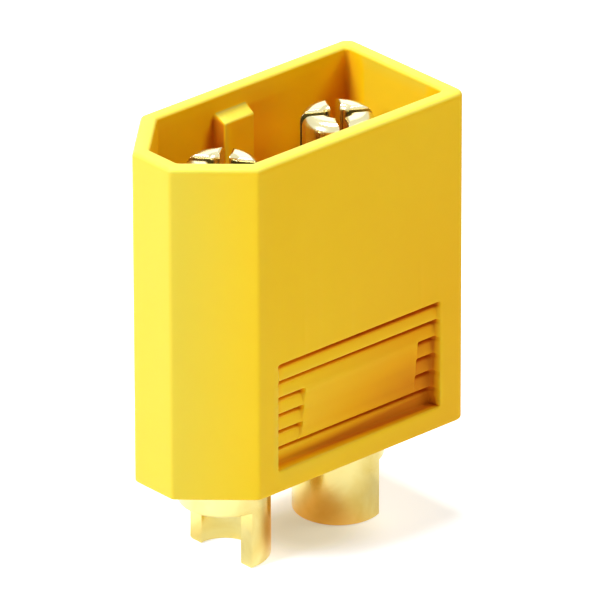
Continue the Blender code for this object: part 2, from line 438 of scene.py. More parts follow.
    def ramp_lines(self) -> tuple[Array, Array]:
        """Height and depth up the outside, once through the ramp's rows and once through the plain field.

        Each row is a step deeper than the one above it and leans out towards its lower edge, and the last one
        ends on a ledge that runs back out to the face. Points close below the rim keep its turn out of the
        long flat faces.

        Returns:
            The two lines from the underside's round to the rim's, both rounded at their corners.
        """
        foot = self.low.z + self.grip_foot
        top = foot + self.grip_rows * self.grip_pitch
        start = [(self.low.z + self.foot_round, 0.0), (foot, 0.0)]
        start.append((foot + self.grip_fall, self.grip_rows * self.grip_step))
        rows = []
        plain = []
        for row in range(self.grip_rows - 1, -1, -1):
            edge = top - row * self.grip_pitch
            depth = (row + 1) * self.grip_step + self.grip_tooth
            steps = [(edge - self.groove_height, depth)]
            steps.append((edge - self.groove_height + self.groove_slope, depth + self.groove_depth))
            steps.append((edge - self.grip_fall, depth + self.groove_depth))
            steps.append((edge, row * self.grip_step))
            rows += steps
            if not self.field_first_row <= row <= self.field_last_row:
                plain += steps
            elif row == self.field_first_row:
                plain.append(steps[-1])
        rim = self.high.z - self.rim_outer_round
        end = [(rim - 2 * self.grip_lip, 0.0), (rim, 0.0)]
        lines = [np.array(start + middle + end) for middle in (rows, plain)]
        ramp, field = (rounded_line(line, self.grip_lip, self.edge_steps + 1) for line in lines)
        return ramp, field

    def rib_line(self) -> Array:
        """Height and depth down the mouth's wall over a rib, rounded at its corners.

        Points on the first stretch below the rib's top carry the painted shade that changes there.

        Returns:
            The line from the rim's round to the floor's.
        """
        top = self.high.z - self.rib_drop
        knots = [(self.high.z - self.rim_inner_round, 0.0), (top, 0.0)]
        knots.append((top - self.rib_slope, self.rib_projection))
        knots += [(top - share * self.nook_fall, self.rib_projection) for share in self.nook_rows]
        knots.append((self.mouth_floor + self.floor_round, self.rib_projection))
        return rounded_line(np.array(knots), self.rib_edge, self.edge_steps)

    def skin(self) -> tuple[Array, Array, int]:
        """The rings from the underside up the outside, over the rim and down the mouth to its floor.

        Each stretch has its rings' inset and height, their depth in the ramp's rows and in the plain field,
        and how far a rib stands out of them.

        Returns:
            An array of rings by columns by X, Y and Z, the points' painted shade and light, and the index of
            the column in the middle of the front side.
        """
        turns = quarter(self.edge_steps)
        near = 1.0 - np.sin(turns)
        far = 1.0 - np.cos(turns)
        ramp, field = self.ramp_lines()
        flat = np.interp(ramp[:, 0], field[:, 0], field[:, 1])
        rib = self.rib_line()
        rim = self.high.z
        floor = self.mouth_floor
        stretches = [
            (self.foot_round * near, self.low.z + self.foot_round * far, 0, 0, 0),
            (0, ramp[:, 0], ramp[:, 1], flat, 0),
            (self.rim_outer_round * far, rim - self.rim_outer_round * near, 0, 0, 0),
            (self.wall - self.rim_inner_round * near, rim - self.rim_inner_round * far, 0, 0, 0),
            (self.wall, rib[:, 0], 0, 0, rib[:, 1]),
            (self.wall + self.floor_round * far, floor + self.floor_round * near, 0, 0, self.rib_projection),
        ]
        rows = np.hstack([np.array(np.broadcast_arrays(*stretch)) for stretch in stretches])
        plans, signs = self.rings(rows[0])
        inset, height, depth, plain, crest = rows[..., None]
        x = plans[..., 0]
        wall, slope = self.grip_wall, self.field_slope
        start, end = self.grip_ends()
        in_grip = plateau(x, (start - wall, start + wall), (end - wall, end + wall))
        start, end = self.field_ends()
        in_field = plateau(x, (start, start + slope), (end - slope, end))
        sunk = in_grip * (depth * (1.0 - in_field) + plain * in_field)
        half_rib = self.rib_width / 2
        off_rib = np.abs(x - self.rib_offset)
        in_rib = 1.0 - smooth_step(off_rib, half_rib - self.rib_edge, half_rib + self.rib_edge)
        y = plans[..., 1] - signs * (sunk + in_rib * crest)
        z = np.broadcast_to(height, x.shape)
        shade = self.tones(x, height, inset) + self.nooks(plans, height, inset)
        outside = np.arange(len(turns), len(turns) + len(ramp))
        for side in Side:
            wide = np.flatnonzero(signs == side.value)[:: -side.value]
            cells = np.ix_(outside, wide)
            shade[cells] += self.relief_tones(sunk[cells], ramp[:, 0], x[0, wide])
        front = np.flatnonzero((signs == Side.FRONT.value) & (np.abs(x[0]) < WELD))[0]
        return np.stack([x, y, z], axis=-1), shade, int(front)

    def tones(self, x: Array, height: Array, inset: Array) -> Array:
        """Painted shade in the mouth and low at the square end, painted light on the rim and at the keyed end.

        Args:
            x: The points' X.
            height: Their Z.
            inset: How far their rings are moved in.

        Returns:
            The painted shade, light where it is below 0.
        """
        rim_foot = self.high.z - self.rim_outer_round
        inner = np.clip(inset / self.wall, 0.0, 1.0)
        keyed = 1.0 - smooth_step(x, *(self.low.x + share * self.key_length for share in self.key_fade))
        lowest = 1.0 - smooth_step(height, self.high.z / 2, rim_foot)
        low_end = lowest * smooth_step(x, self.low.x / 2, self.high.x)
        outer = (1.0 - inner) * (self.key_shade * keyed + self.low_shade * low_end)
        return self.mouth_shade * inner + self.rim_shade * smooth_step(height, rim_foot, self.high.z) + outer

    def relief_tones(self, sunk: Array, height: Array, x: Array) -> Array:
        """Painted shade of the grip ramp.

        It is painted dark where the ramp lies deeper than what is round it, with a little painted light where
        it stands out, and the painted shade deepens with the depth towards the square end.

        Args:
            sunk: The points' depth in the wide side, rows by columns.
            height: Z of the rows.
            x: X of the columns, in rising order.

        Returns:
            The shade to add.
        """
        around = bell_mean(sunk, height, self.shade_reach)
        around = bell_mean(around.T, x, self.shade_reach).T
        relief = np.minimum((sunk - around) / self.shade_depth, self.groove_shade)
        start, end = self.grip_ends()
        lower = smooth_step(sunk, 0.0, self.recess_depth) * np.clip((x - start) / (end - start), 0.0, 1.0)
        return np.maximum(relief, self.edge_share * relief) + self.recess_shade * lower

    def nooks(self, plans: Array, height: Array, inset: Array) -> Array:
        """Painted shade in the mouth: dark beside the ribs and in the square end's corners, painted light on
        the ribs' tops.

        The painted shadows widen with the depth below the rim; the ribs' lee is painted darker, their front
        edges and the square end's wall lighter; and all is made of smooth steps along the sides and down.

        Args:
            plans: The points' X and Y, before the ribs are raised.
            height: Their Z.
            inset: How far their rings are moved in.

        Returns:
            The shade to add.
        """
        x, y = plans[..., 0], plans[..., 1]
        edge = self.rib_edge
        half_rib = self.rib_width / 2
        root = self.rib_offset - half_rib
        far_root = self.rib_offset + half_rib
        last = self.high.x - self.wall
        half = self.high.y - self.wall
        below = self.high.z - self.rib_drop - height
        inside = (inset >= self.wall - WELD) & (height > self.mouth_floor + WELD)
        at_wall = smooth_step(np.abs(y), half - 2 * self.mouth_radius, half - self.mouth_radius / 2)
        under = smooth_step(below, 0.0, self.rib_slope)
        wedge = edge + self.nook_width * np.clip(below / self.nook_fall, 0.0, 1.0)
        beside = np.clip(self.nook_gain * (1.0 - (root - x) / wedge), 0.0, 1.0) * under
        beside = beside * (1.0 - smooth_step(x, root + edge / 2, root + edge))
        deep = smooth_step(below, -self.rib_drop, self.nook_fall)
        corner = np.clip(1.0 - (last - x) / (self.nook_reach * (self.nook_top_reach + deep)), 0.0, 1.0)
        corner = corner * (self.nook_top_shade + (1.0 - self.nook_top_shade) * deep)
        top = 1.0 - smooth_step(np.abs(x - self.rib_offset), half_rib - edge, half_rib)
        top = top * plateau(below, (-edge, 0.0), (self.rib_slope, self.rib_slope + edge))
        lit = plateau(x, (root + edge / 2, root + edge), (root + edge, root + self.rib_lit_reach)) * under
        lee = plateau(x, (far_root - edge, far_root), (far_root, far_root + self.lee_reach)) * under
        lines = self.nook_shade * np.maximum(beside, corner) + self.rib_top_shade * top
        lines = lines + self.rib_lit_shade * lit + self.lee_shade * lee
        end_wall = smooth_step(x, last - self.mouth_radius, last)
        return inside * (lines * at_wall + self.end_wall_shade * (1.0 - at_wall) * end_wall)

    def sheet(self, edge: Array, centre: float, radius: float) -> tuple[Array, Array]:
        """A flat sheet from an edge in to a round hole.

        Each point of the edge has its partner on the hole's rim in the same direction from the hole's centre,
        and the rows between them lie at even shares of the way.

        Args:
            edge: The edge's points, anticlockwise.
            centre: X of the hole's centre.
            radius: The hole's radius.

        Returns:
            The sheet, from the edge to the rim, and the direction of each column.
        """
        middle = np.array([centre, 0.0])
        turns = np.unwrap(np.arctan2(edge[:, 1], edge[:, 0] - centre))
        rim = middle + radius * np.stack([np.cos(turns), np.sin(turns)], axis=-1)
        share = np.linspace(0.0, 1.0, self.sheet_rows)[:, None, None]
        plan = edge[:, :2] * (1.0 - share) + rim * share
        height = np.full(plan.shape[:2] + (1,), edge[0, 2])
        return np.concatenate([plan, height], axis=-1), turns

    def hole(self, centre: float, upper: Array, lower: Array) -> Array:
        """The stepped hole that a contact sits in, from the mouth's floor down to the underside.

        Its rings are circles of the steps' radii, whose points turn evenly from the floor's directions to
        those of the underside.

        Args:
            centre: X of the hole's centre.
            upper: Directions of the columns at the floor.
            lower: Directions of the columns at the underside.

        Returns:
            The hole's rings.
        """
        profile = self.hole_profile()
        share = np.linspace(0.0, 1.0, len(profile))[:, None]
        turns = upper + (lower - upper) * share
        x, y = turned(profile[:, :1], 0.0, turns)
        return np.stack([centre + x, y, np.broadcast_to(profile[:, 1:], x.shape)], axis=-1)

    def hole_profile(self) -> Array:
        """The steps of a hole, which follow the contact's neck, barbs and cup.

        Returns:
            Radius and height of its rings, from the mouth's floor down.
        """
        neck = PIN_RADIUS + self.neck_gap
        barbs = BARB_RADIUS + self.neck_gap
        cup = CUP_RADIUS + self.seat_gap
        cup_top = self.low.z + self.cup_seat
        barb_top = cup_top + self.barb_seat
        steps = [(neck, self.mouth_floor), (neck, barb_top), (barbs, barb_top), (barbs, cup_top)]
        steps += [(cup, cup_top), (cup, self.low.z + self.seat_chamfer)]
        steps.append((cup + self.seat_chamfer, self.low.z))
        return np.array(steps)

    def halves(self, ring: Array, front: int) -> list[Array]:
        """Splits a ring across its middle into the closed edges of its two halves.

        Args:
            ring: The ring's points, anticlockwise.
            front: Index of the point in the middle of the front side.

        Returns:
            The edges of the half with the keyed end and of the half with the square end, anticlockwise, each
            closed by a line of points across the middle.
        """
        ring = np.roll(ring, -front, axis=0)
        back = np.flatnonzero((np.abs(ring[:, 0]) < WELD) & (ring[:, 1] > 0.0))[0]
        across = np.linspace(ring[back], ring[0], self.line_points)[1:-1]
        square_end = np.vstack([ring[: back + 1], across])
        keyed_end = np.vstack([ring[back:], ring[:1], across[::-1]])
        return [keyed_end, square_end]

    def build(self) -> bpy.types.Object:
        """Builds the housing's mesh.

        Returns:
            The piece.
        """
        skin, shade, front = self.skin()
        grids = [skin]
        radii = self.hole_profile()[:, 0]
        lower_edges = self.halves(skin[0], front)
        upper_edges = self.halves(skin[-1], front)
        for centre, lower_edge, upper_edge in zip(self.hole_centres, lower_edges, upper_edges):
            lower, lower_turns = self.sheet(lower_edge, centre, radii[-1])
            upper, upper_turns = self.sheet(upper_edge, centre, radii[0])
            grids += [lower, upper, self.hole(centre, upper_turns, lower_turns)]
        shades = [shade] + [np.zeros(grid.shape[:2]) for grid in grids[1:]]
        piece = closed_piece("moulded_housing", grids, shades)
        weighted = piece.modifiers.new("even_faces", "WEIGHTED_NORMAL")
        weighted.keep_sharp = True
        return piece


@dataclass(frozen=True)
class ContactPose:
    """How one contact stands: its scoop's and its slots' turn in degrees, and how far its pin is raised."""

    turn: float
    slot_turn: float
    pin_rise: float


@dataclass
class Contact:
    """One turned contact: split pin, barbs, and a solder cup with a drilled bore and a scooped side.

    The body is turned round the contact's axis. On the scooped side the cup's lower rings are lifted to the
    scoop's top, and the columns where it starts and ends follow the scoop's flat face. The pin's prongs are
    closed forms that stand on the body.
    """

    name: str
    low: Vector
    high: Vector
    pose: ContactPose
    housing_foot: float
    mouth_floor: float
    # Pin, its slots and its hollow
    pin_nose: float = 0.55 * MM
    slot_rise: float = 0.5 * MM
    slot_width: float = 0.46 * MM
    slot_round: float = 0.18 * MM
    hollow_radius: float = 0.6 * MM
    hollow_round: float = 0.3 * MM
    # Barbs
    barb_pitch: float = 0.9 * MM
    barb_rise: float = 0.6 * MM
    barb_rows: int = 2
    # Solder cup
    cup_seat: float = 2.85 * MM
    cup_floor: float = 1.0 * MM
    bore_radius: float = 1.4 * MM
    drill_point: float = math.radians(118)
    scoop_length: float = 2.85 * MM
    scoop_offset: float = 0.2 * MM
    # Edges, the tips' painted highlight and steps
    edge_round: float = 0.12 * MM
    bore_round: float = 0.05 * MM
    bevel: float = 0.04 * MM
    sunk: float = 0.02 * MM
    tip_highlight: float = 0.5
    round_steps: int = 64
    nose_steps: int = 14
    edge_steps: int = 4
    side_steps: int = 6
    bevel_steps: int = 2

    @property
    def slot_foot(self) -> float:
        """Height of the slots' foot, which is the top of the pin's solid middle."""
        return self.mouth_floor + self.slot_rise

    def turns(self, radius: Array) -> Array:
        """Directions of the columns at each ring, round the kept side and then round the scooped side.

        The scoop's face stands scoop_offset from the axis, so a ring meets it where the cosine of the
        direction is scoop_offset over the ring's radius.

        Args:
            radius: The rings' radii.

        Returns:
            An array of rings by columns.
        """
        reach = np.maximum(radius, self.bore_radius)
        edge = np.arccos(self.scoop_offset / reach)[:, None]
        share = np.linspace(0.0, 1.0, self.round_steps + 1)
        kept = edge + (2 * math.pi - 2 * edge) * share
        scooped = -edge + 2 * edge * share
        return np.concatenate([kept, scooped + 2 * math.pi], axis=1)

    def body(self) -> Array:
        """The turned body, from the top of its solid middle out, down to the cup's end and up the bore.

        Returns:
            The body's rings.
        """
        shoulder = self.housing_foot + self.cup_seat
        barb_top = shoulder + self.barb_rows * self.barb_pitch
        profile = [(0.0, self.slot_foot), (PIN_RADIUS, self.slot_foot)]
        for row in range(self.barb_rows):
            start = barb_top - row * self.barb_pitch
            ledge = start - self.barb_rise
            profile += [(PIN_RADIUS, start), (BARB_RADIUS, ledge), (PIN_RADIUS, ledge)]
        turns = quarter(self.edge_steps)
        sine = np.sin(turns)
        cosine = np.cos(turns)
        out = CUP_RADIUS - self.edge_round
        profile += [(PIN_RADIUS, shoulder), (out, shoulder)]
        profile += list(zip(out + self.edge_round * sine, shoulder - self.edge_round * (1 - cosine)))
        profile.append((CUP_RADIUS, self.scoop_length + self.edge_round))
        upper = len(profile)
        profile += list(zip(out + self.edge_round * cosine, self.edge_round * (1 - sine)))
        inner = self.bore_radius + self.bore_round
        profile += list(zip(inner - self.bore_round * sine, self.bore_round * (1 - cosine)))
        lifted = slice(upper, len(profile))
        profile.append((self.bore_radius, self.scoop_length + self.bore_round))
        drill_end = shoulder - self.cup_floor
        profile.append((self.bore_radius, drill_end - self.bore_radius / math.tan(self.drill_point / 2)))
        profile.append((0.0, drill_end))
        radius, height = np.array(profile).T
        turns = self.turns(radius)
        z = np.broadcast_to(height[:, None], turns.shape).copy()
        z[lifted, self.round_steps + 1 :] += self.scoop_length
        x, y = turned(radius[:, None], 0.0, turns)
        return self.placed(x, y, z, math.radians(self.pose.turn))

    @staticmethod
    def rounding(fall: Array, radius: float) -> Array:
        """How far an edge rounded with that radius stands back at each fall below its top."""
        left = np.clip(radius - fall, 0.0, radius)
        return radius - np.sqrt(radius**2 - left**2)

    def prong(self, quadrant: int) -> Array:
        """One prong of the split pin.

        Its section is a sector of the pin less half a slot on each side and less the hollow in the pin's
        middle: the outline runs along one slot, round the arc, back along the other and round the hollow. Up
        the nose the sector's radius falls along a quarter circle, its other edges are rounded off in the same
        way, and the first and last rows shrink to a point in the section's middle.

        Args:
            quadrant: Which prong, from 0 to 3.

        Returns:
            The prong's rings.
        """
        fall = self.pin_nose * (1 - np.sin(quarter(self.nose_steps)))
        top = self.high.z + self.pose.pin_rise
        height = np.concatenate([[self.slot_foot - self.sunk] * 2, top - fall, [top]])
        radius = PIN_RADIUS - self.rounding(fall, self.pin_nose)
        half = self.slot_width / 2 + self.rounding(fall, self.slot_round)
        inner = self.hollow_radius + self.rounding(fall, self.hollow_round)
        radius, half, inner = (np.pad(line, (2, 1), mode="edge")[:, None] for line in (radius, half, inner))
        start = np.sqrt(inner**2 - half**2)
        reach = np.sqrt(radius**2 - half**2)
        share = np.linspace(0.0, 1.0, self.side_steps + 1)[None, 1:-1]
        along = start + (reach - start) * share
        beside = half * np.ones_like(along)
        turn = np.linspace(0.0, 1.0, self.round_steps // 2)[None, :]
        edge = np.arcsin(half / radius)
        arc = edge + (math.pi / 2 - 2 * edge) * turn
        near_edge = np.arcsin(half / inner)
        hollow = math.pi / 2 - near_edge - (math.pi / 2 - 2 * near_edge) * turn
        x = np.concatenate([along, radius * np.cos(arc), beside, inner * np.cos(hollow)], axis=1)
        y = np.concatenate([beside, radius * np.sin(arc), along[:, ::-1], inner * np.sin(hollow)], axis=1)
        middle = (self.hollow_radius + PIN_RADIUS) / 2 * math.cos(math.pi / 4)
        for row in (0, -1):
            x[row] = y[row] = middle
        z = np.broadcast_to(height[:, None], x.shape)
        return self.placed(x, y, z, math.radians(self.pose.slot_turn) + quadrant * math.pi / 2)

    def placed(self, x: Array, y: Array, z: Array, turn: float) -> Array:
        """Turns points about the contact's axis and sets them round it.

        Args:
            x: The points' X from the axis.
            y: Their Y.
            z: Their Z.
            turn: The angle, anticlockwise seen from above.

        Returns:
            The points in their place, with X, Y and Z on the last axis.
        """
        x, y = turned(x, y, turn)
        return np.stack([x + (self.low.x + self.high.x) / 2, y, z], axis=-1)

    def build(self) -> bpy.types.Object:
        """Builds the contact's mesh.

        Returns:
            The piece.
        """
        grids = [self.body()] + [self.prong(quadrant) for quadrant in range(4)]
        foot = self.high.z - self.pin_nose
        # The prongs' tips take a painted highlight through the stored value
        shades = [self.tip_highlight * smooth_step(grid[..., 2], foot - self.pin_nose, foot) for grid in grids]
        piece = closed_piece(self.name, grids, shades)
        bevel = piece.modifiers.new("broken_edges", "BEVEL")
        bevel.width = self.bevel
        bevel.segments = self.bevel_steps
        bevel.limit_method = "ANGLE"
        bevel.angle_limit = SHARP_ANGLE
        bevel.harden_normals = True
        return piece


class NodeTree:
    """Short ways to add nodes and to fill their sockets."""

    def __init__(self, tree: bpy.types.NodeTree) -> None:
        """Keeps the tree that the nodes go into."""
        self.tree = tree

    def fill(self, socket: Socket, value: object) -> None:
        """Gives an input what it takes.

        Args:
            socket: The input.
            value: An output to link to it, or a plain value to set.
        """
        if isinstance(value, Socket):
            self.tree.links.new(value, socket)
        else:
            socket.default_value = value

    def add(
        self, kind: str, sockets: dict[str | int, object] | None = None, **values: object
    ) -> bpy.types.Node:
        """Adds a node.

        Args:
            kind: The node's type.
            sockets: Outputs or values for its inputs, by the inputs' names or numbers.
            values: Its properties by name.

        Returns:
            The node.
        """
        node = self.tree.nodes.new(kind)
        for name, value in values.items():
            setattr(node, name, value)
        for key, value in (sockets or {}).items():
            self.fill(node.inputs[key], value)
        return node

    def noise(self, place: Socket, scale: object, **values: float) -> Socket:
        """Noise at a place, between 0 and 1, with the values of its other sockets by name."""
        return self.add("ShaderNodeTexNoise", {"Vector": place, "Scale": scale, **values}).outputs["Fac"]

    def span(
        self,
        value: Socket,
        start: float,
        end: float,
        low: float = 0.0,
        high: float = 1.0,
        smooth: bool = False,
    ) -> Socket:
        """Carries a value from the span between start and end to the one between low and high.

        Args:
            value: What is carried.
            start: Where the result is low, and stays so beyond.
            end: Where the result is high, and stays so beyond.
            low: The result at the start.
            high: The result at the end.
            smooth: Whether the way between is a smooth step and not a straight line.

        Returns:
            The result.
        """
        sockets = {"Value": value, "From Min": start, "From Max": end, "To Min": low, "To Max": high}
        kind = "SMOOTHSTEP" if smooth else "LINEAR"
        return self.add("ShaderNodeMapRange", sockets, interpolation_type=kind).outputs["Result"]

    def math(self, operation: str, *values: object, **settings: object) -> Socket:
        """The result of an operation on outputs or numbers."""
        return self.add("ShaderNodeMath", dict(enumerate(values)), operation=operation, **settings).outputs[0]

    def distance(self, place: Socket, point: Triple) -> Socket:
        """How far a place is from a point."""
        return self.add("ShaderNodeVectorMath", {0: place, 1: point}, operation="DISTANCE").outputs["Value"]

    def mix(self, share: Socket, first: object, second: object, kind: Mixed = Mixed.RGBA) -> Socket:
        """Mixes two colours or numbers.

        Args:
            share: How far the result lies from the first one towards the second.
            first: The first one, an output or a plain value.
            second: The second one.
            kind: Whether they are colours or numbers.

        Returns:
            The result.
        """
        first_input, second_input, output = kind.value
        sockets = {"Factor": share, first_input: first, second_input: second}
        return self.add("ShaderNodeMix", sockets, data_type=kind.name).outputs[output]

    def group(self, tree: bpy.types.NodeTree, **sockets: object) -> bpy.types.Node:
        """Adds a node that stands for a group, with what its sockets take by name."""
        return self.add("ShaderNodeGroup", sockets, node_tree=tree)

    def bump(self, height: Socket, distance: float) -> Socket:
        """The normal of a surface raised by that height, times the distance."""
        sockets = {"Height": height, "Strength": 1.0, "Distance": distance}
        return self.add("ShaderNodeBump", sockets).outputs["Normal"]


class MaterialTree(NodeTree):
    """The nodes of a new material."""

    def __init__(self, name: str) -> None:
        """Starts a material.

        Args:
            name: Its name.
        """
        self.material = bpy.data.materials.new(name)
        self.material.use_nodes = True
        super().__init__(self.material.node_tree)
        self.place = self.add("ShaderNodeTexCoord").outputs["Object"]

    def finish(self, values: dict[str, object]) -> bpy.types.Material:
        """Gives the shader what each of its sockets needs.

        Args:
            values: Outputs or plain values by the sockets' names.

        Returns:
            The material.
        """
        shader = self.tree.nodes["Principled BSDF"]
        for name, value in values.items():
            self.fill(shader.inputs[name], value)
        return self.material


class SurfaceEffects:
    """The effects that both finishes share, each a node group that is built once."""

    drift_scale: float = 0.06
    handled_span: tuple[float, float] = (0.42, 0.68)
    # Bands of the stored value: above 0 painted shade, below 0 painted light and painted highlights; on the
    # contacts' tips the first band marks a painted highlight
    shade_spans: dict[str, tuple[float, float]] = {
        "Plus_half": (0.0, 0.5),
        "Plus_full": (0.5, 1.0),
        "Minus_half": (0.0, -0.5),
        "Minus_full": (-0.5, -1.0),
    }

    def __init__(self) -> None:
        """Builds the groups."""
        self.grain = self.build_grain()
        self.handling = self.build_handling()
        self.painted_light_and_shade = self.build_painted_light_and_shade()

    @staticmethod
    def group(
        name: str, inputs: Iterable[str], outputs: Iterable[str]
    ) -> tuple[NodeTree, bpy.types.NodeInputs, bpy.types.NodeOutputs]:
        """Starts a group.

        Args:
            name: The group's name.
            inputs: Names of its inputs, each a value unless it is called Vector.
            outputs: Names of its outputs, which are values.

        Returns:
            The tree, the sockets that its outputs are linked to and those that give its inputs.
        """
        tree = bpy.data.node_groups.new(name, "ShaderNodeTree")
        for socket in inputs:
            kind = "NodeSocketVector" if socket == "Vector" else "NodeSocketFloat"
            tree.interface.new_socket(socket, in_out="INPUT", socket_type=kind)
        for socket in outputs:
            tree.interface.new_socket(socket, in_out="OUTPUT", socket_type="NodeSocketFloat")
        nodes = NodeTree(tree)
        return nodes, nodes.add("NodeGroupOutput").inputs, nodes.add("NodeGroupInput").outputs

    def build_grain(self) -> bpy.types.NodeTree:
        """A fine, even grain: its height, and a slow drift of tone.

        Returns:
            The group.
        """
        nodes, results, given = self.group("fine_grain", ["Vector", "Scale"], ["Height", "Tone"])
        place, scale = given["Vector"], given["Scale"]
        nodes.fill(results["Height"], nodes.noise(place, scale, Detail=3.0, Roughness=0.6))
        slower = nodes.math("MULTIPLY", scale, self.drift_scale)
        nodes.fill(results["Tone"], nodes.noise(place, slower, Detail=2.0, Roughness=0.5))
        return nodes.tree

    def build_handling(self) -> bpy.types.NodeTree:
        """Faint rubbed patches, 0 where the surface is fresh and 1 where it was handled most.

        Returns:
            The group.
        """
        nodes, results, given = self.group("handling", ["Vector", "Scale"], ["Mask"])
        detail = {"Detail": 4.0, "Roughness": 0.55, "Distortion": 0.6}
        patches = nodes.noise(given["Vector"], given["Scale"], **detail)
        nodes.fill(results["Mask"], nodes.span(patches, *self.handled_span))
        return nodes.tree

    def build_painted_light_and_shade(self) -> bpy.types.NodeTree:
        """Masks from the stored painted value: painted shade in two depths, painted light and painted
        highlights.

        Returns:
            The group.
        """
        nodes, results, _ = self.group("painted_light_and_shade_masks", [], self.shade_spans)
        shade = nodes.add("ShaderNodeAttribute", attribute_name=SHADE).outputs["Fac"]
        for output, (none, full) in self.shade_spans.items():
            nodes.fill(results[output], nodes.span(shade, none, full))
        return nodes.tree


@dataclass(frozen=True)
class Nylon:
    """The housing's yellow moulded nylon: satin, finely grained, a little see-through in its skin."""

    colour: Colour = (1.0, 0.605, 0.003, 1.0)
    deep_colour: Colour = (0.98, 0.575, 0.002, 1.0)
    # Colours of painted shade in two depths, then of painted light and painted highlights
    painted_shade_colour: Colour = (0.90, 0.40, 0.002, 1.0)
    deep_painted_shade_colour: Colour = (0.68, 0.19, 0.001, 1.0)
    painted_light_colour: Colour = (0.77, 0.60, 0.055, 1.0)
    painted_highlight_colour: Colour = (0.90, 0.76, 0.085, 1.0)
    hollow_roughness: float = 0.4
    gloss: float = 0.14
    grain_scale: float = 9000.0
    grain_height: float = 0.003 * MM
    patch_scale: float = 260.0
    fresh_roughness: float = 0.40
    rubbed_roughness: float = 0.34
    glow: float = 0.12
    glow_reach: float = 0.5 * MM
    glow_colour: Triple = (1.0, 0.45, 0.05)

    def build(self, effects: SurfaceEffects) -> bpy.types.Material:
        """Builds the material.

        Args:
            effects: The shared effects.

        Returns:
            The material.
        """
        nodes = MaterialTree("yellow_nylon")
        grain = nodes.group(effects.grain, Vector=nodes.place, Scale=self.grain_scale).outputs
        patches = nodes.group(effects.handling, Vector=nodes.place, Scale=self.patch_scale).outputs
        masks = nodes.group(effects.painted_light_and_shade).outputs
        colour = nodes.mix(grain["Tone"], self.colour, self.deep_colour)
        # Painted shade, painted light and painted highlights from the stored value
        colour = nodes.mix(masks["Plus_half"], colour, self.painted_shade_colour)
        colour = nodes.mix(masks["Plus_full"], colour, self.deep_painted_shade_colour)
        colour = nodes.mix(masks["Minus_half"], colour, self.painted_light_colour)
        colour = nodes.mix(masks["Minus_full"], colour, self.painted_highlight_colour)
        polish = nodes.span(patches["Mask"], 0.0, 1.0, self.fresh_roughness, self.rubbed_roughness)
        dulled = (masks["Plus_half"], self.hollow_roughness, polish)
        return nodes.finish({
            "Base Color": colour,
            "Roughness": nodes.math("MULTIPLY_ADD", *dulled, use_clamp=True),
            "Normal": nodes.bump(grain["Height"], self.grain_height),
            "Specular IOR Level": self.gloss,
            "Subsurface Weight": self.glow,
            "Subsurface Radius": self.glow_colour,
            "Subsurface Scale": self.glow_reach,
        })


@dataclass(frozen=True)
class GoldPlate:
    """The contacts' gold plate over turned brass, with the lathe's fine rings showing through."""

    colour: Colour = (0.81, 0.68, 0.25, 1.0)
    rubbed_colour: Colour = (0.76, 0.59, 0.16, 1.0)
    # Painted highlight towards the prongs' tips
    tip_highlight_colour: Colour = (0.80, 0.73, 0.42, 1.0)
    ring_scale: float = 9000.0
    ring_height: float = 0.0012 * MM
    ring_stretch: Triple = (0.02, 0.02, 1.0)
    grain_scale: float = 14000.0
    patch_scale: float = 500.0
    fresh_roughness: float = 0.16
    rubbed_roughness: float = 0.27

    def build(self, effects: SurfaceEffects) -> bpy.types.Material:
        """Builds the material.

        Args:
            effects: The shared effects.

        Returns:
            The material.
        """
        nodes = MaterialTree("gold_plate")
        grain = nodes.group(effects.grain, Vector=nodes.place, Scale=self.grain_scale).outputs
        patches = nodes.group(effects.handling, Vector=nodes.place, Scale=self.patch_scale).outputs
        masks = nodes.group(effects.painted_light_and_shade).outputs
        colour = nodes.mix(patches["Mask"], self.colour, self.rubbed_colour)
        stretch = {"Vector": nodes.place, "Scale": self.ring_stretch}
        stretched = nodes.add("ShaderNodeMapping", stretch).outputs["Vector"]
        rings = nodes.noise(stretched, self.ring_scale, Detail=2.0)
        relief = nodes.math("ADD", rings, grain["Height"])
        return nodes.finish({
            "Metallic": 1.0,
            "Base Color": nodes.mix(masks["Plus_half"], colour, self.tip_highlight_colour),
            "Roughness": nodes.span(patches["Mask"], 0.0, 1.0, self.fresh_roughness, self.rubbed_roughness),
            "Normal": nodes.bump(relief, self.ring_height),
        })


@dataclass
class Lamp:
    """A square soft lamp that looks at the part.

    Its level is the brightness of a white surface that faces it, where 1 renders as white.
    """

    name: str
    azimuth: float
    elevation: float
    size: float
    level: float
    distance: float = 0.35
    colour: Triple = (1.0, 1.0, 1.0)

    def build(self, target: Vector) -> None:
        """Sets the lamp up.

        Args:
            target: The point that it looks at.
        """
        data = bpy.data.lights.new(self.name, "AREA")
        data.size = self.size
        data.energy = self.level * (math.pi * self.distance) ** 2
        data.color = self.colour
        lamp = placed_object(self.name, data)
        away = direction(self.azimuth, self.elevation)
        lamp.location = target + away * self.distance
        lamp.rotation_euler = away.to_track_quat("Z", "Y").to_euler()


def direction(azimuth: float, elevation: float) -> Vector:
    """The unit vector towards a viewer: azimuth 0 stands on the -Y side and 90 on the +X side, in degrees."""
    a, e = math.radians(azimuth), math.radians(elevation)
    return Vector((math.sin(a) * math.cos(e), -math.cos(a) * math.cos(e), math.sin(e)))


